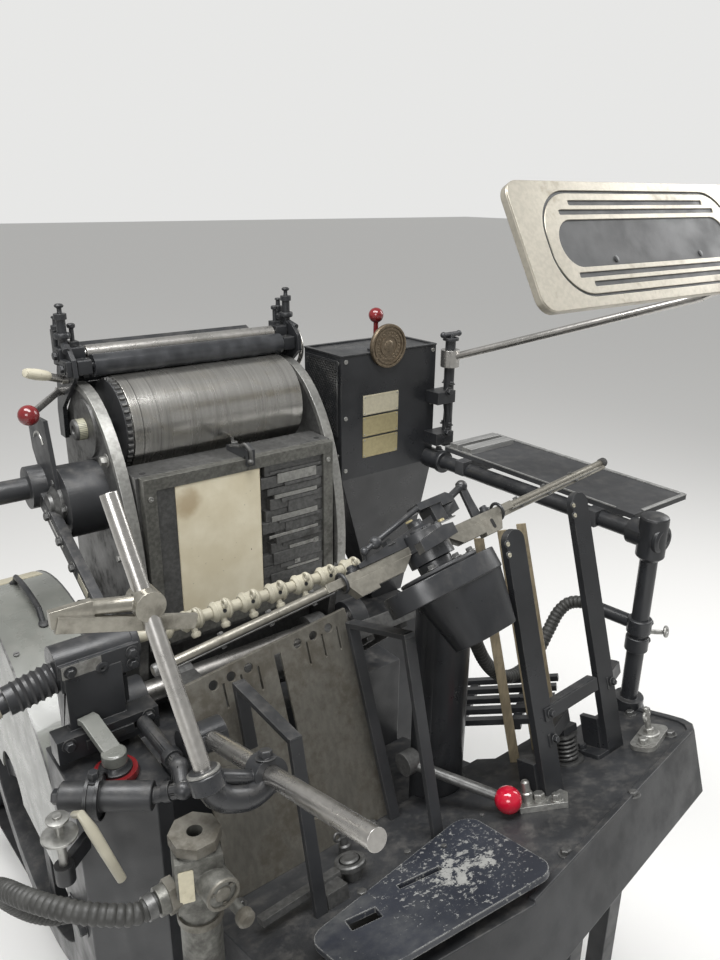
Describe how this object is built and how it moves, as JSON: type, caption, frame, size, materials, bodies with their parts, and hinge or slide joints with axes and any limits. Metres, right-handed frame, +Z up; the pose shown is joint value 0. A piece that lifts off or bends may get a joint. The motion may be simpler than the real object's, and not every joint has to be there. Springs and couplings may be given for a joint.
{
  "type": "platen printing press",
  "caption": "Upright platen printing press with an open platen, inked drum, rotating gripper arms and a feed and delivery table.",
  "frame": {"origin": "on the floor under the middle of the machine's plan", "axes": "+X along the ink drum to the operator's right, +Y to the rear, +Z up"},
  "size_m": [1.322, 1.4864, 1.6335],
  "materials": {
    "black_enamel": "black machine enamel, satin, rubbed and oily",
    "cast_black": "dark painted casting with worn edges",
    "worn_iron": "bare grey iron, worn and ink stained",
    "track_steel": "ground steel track, greasy",
    "drum_steel": "turned steel, streaked with ink",
    "bright_steel": "polished steel with a little rust",
    "roller_rubber": "smooth dark roller rubber",
    "cream_board": "oiled cream packing board",
    "feed_iron": "grey metal plate, scratched",
    "cream_enamel": "cream enamel, chipped",
    "tray_felt": "black tray board with a bright rim",
    "rail_aluminium": "extruded rail",
    "bronze": "dull bronze",
    "plate_metal": "champagne coloured plate with dark fields",
    "ball_red": "glossy red ball",
    "ball_dark": "dark red ball",
    "cover_green": "grey green enamel",
    "slat_tan": "tan strips, worn",
    "hose_rubber": "dusty corrugated hose",
    "belt_rubber": "flat rubber belt"
  },
  "bodies": {
    "press": {"base_frame": "cast_black", "bed_casting": "worn_iron", "side_cheeks": "worn_iron", "chase": "worn_iron", "type_board": "cream_board", "furniture": "worn_iron", "chase_hook": "cast_black", "roller_tracks": "track_steel", "platen_shaft": "bright_steel", "roller_brackets": "black_enamel", "ink_fountain": "black_enamel", "guard_box": "black_enamel", "guard_mesh": "black_enamel", "box_lever": "ball_dark", "medal": "bronze", "guard_post": "black_enamel", "support_tube": "black_enamel", "side_tray": "tray_felt", "tray_rails": "rail_aluminium", "table_casting": "cast_black", "table_frame": "cast_black", "feed_plate": "feed_iron", "side_guides": "cast_black", "suction_swivel": "black_enamel", "feeder_column": "cast_black", "air_valve": "worn_iron", "air_hose": "hose_rubber", "gripper_housing": "black_enamel", "delivery_posts": "black_enamel", "delivery_slats": "slat_tan", "blower_hose": "hose_rubber", "front_plate": "black_enamel", "side_rods": "bright_steel", "rod_clamp": "black_enamel", "stop_bar": "feed_iron", "ink_levers": "bright_steel", "carriage_arm": "cast_black", "flywheel_cover": "cover_green", "drive_motor": "cast_black", "drive_belt": "belt_rubber"},
    "platen": {"platen": "worn_iron"},
    "ink_drum": {"ink_drum": "drum_steel"},
    "steel_roller": {"steel_roller": "bright_steel"},
    "front_roller": {"front_roller": "roller_rubber"},
    "rear_roller": {"rear_roller": "roller_rubber", "handwheel": "bright_steel"},
    "name_guard": {"guard_rod": "bright_steel", "name_guard": "plate_metal"},
    "suction_bar": {"suction_bar": "cream_enamel"},
    "gripper": {"gripper_hub": "black_enamel", "hub_links": "black_enamel", "gripper_arms": "feed_iron"},
    "pile_board": {"pile_board": "black_enamel"},
    "main_lever": {"main_lever": "worn_iron", "lever_ball": "ball_red"},
    "flywheel": {"flywheel": "cast_black"}
  },
  "joints": [
    {"name": "platen_swing", "type": "hinge", "parent": "press", "child": "platen", "pos_m": [-0.083, 0.04123, 0.761], "axis": [1, 0, 0], "range_deg": [-54, 0]},
    {"name": "drum_spin", "type": "hinge", "parent": "press", "child": "ink_drum", "pos_m": [-0.083, 0.19923, 1.221], "axis": [1, 0, 0], "continuous": true},
    {"name": "steel_roller_spin", "type": "hinge", "parent": "press", "child": "steel_roller", "pos_m": [-0.083, 0.24924, 1.34293], "axis": [1, 0, 0], "continuous": true},
    {"name": "front_roller_spin", "type": "hinge", "parent": "press", "child": "front_roller", "pos_m": [-0.083, 0.21942, 1.32557], "axis": [1, 0, 0], "continuous": true},
    {"name": "rear_roller_spin", "type": "hinge", "parent": "press", "child": "rear_roller", "pos_m": [-0.083, 0.25828, 1.30963], "axis": [1, 0, 0], "continuous": true},
    {"name": "gripper_spin", "type": "hinge", "parent": "press", "child": "gripper", "pos_m": [-0.038, -0.39777, 1.146], "axis": [-0.0872, 0.6403, 0.7631], "continuous": true},
    {"name": "flywheel_spin", "type": "hinge", "parent": "press", "child": "flywheel", "pos_m": [-0.083, 0.09323, 0.64], "axis": [1, 0, 0], "continuous": true},
    {"name": "name_guard_swing", "type": "hinge", "parent": "press", "child": "name_guard", "pos_m": [0.423, 0.04723, 1.288], "axis": [0, 0, 1], "range_deg": [0, 75]},
    {"name": "suction_bar_rock", "type": "hinge", "parent": "press", "child": "suction_bar", "pos_m": [-0.253, -0.28177, 1.078], "axis": [1, 0, 0], "range_deg": [-15, 15]},
    {"name": "main_lever_swing", "type": "hinge", "parent": "press", "child": "main_lever", "pos_m": [-0.073, -0.41877, 0.8], "axis": [1, 0, 0], "range_deg": [-35, 0]},
    {"name": "pile_board_slide", "type": "slide", "parent": "press", "child": "pile_board", "axis": [0, 0.3007, 0.9537], "range_m": [-0.04, 0]}
  ],
  "couplings": [
    {"joint": "front_roller_spin", "follows": "drum_spin", "ratio": -4.3},
    {"joint": "rear_roller_spin", "follows": "drum_spin", "ratio": -4.3},
    {"joint": "steel_roller_spin", "follows": "drum_spin", "ratio": 6.1429}
  ]
}
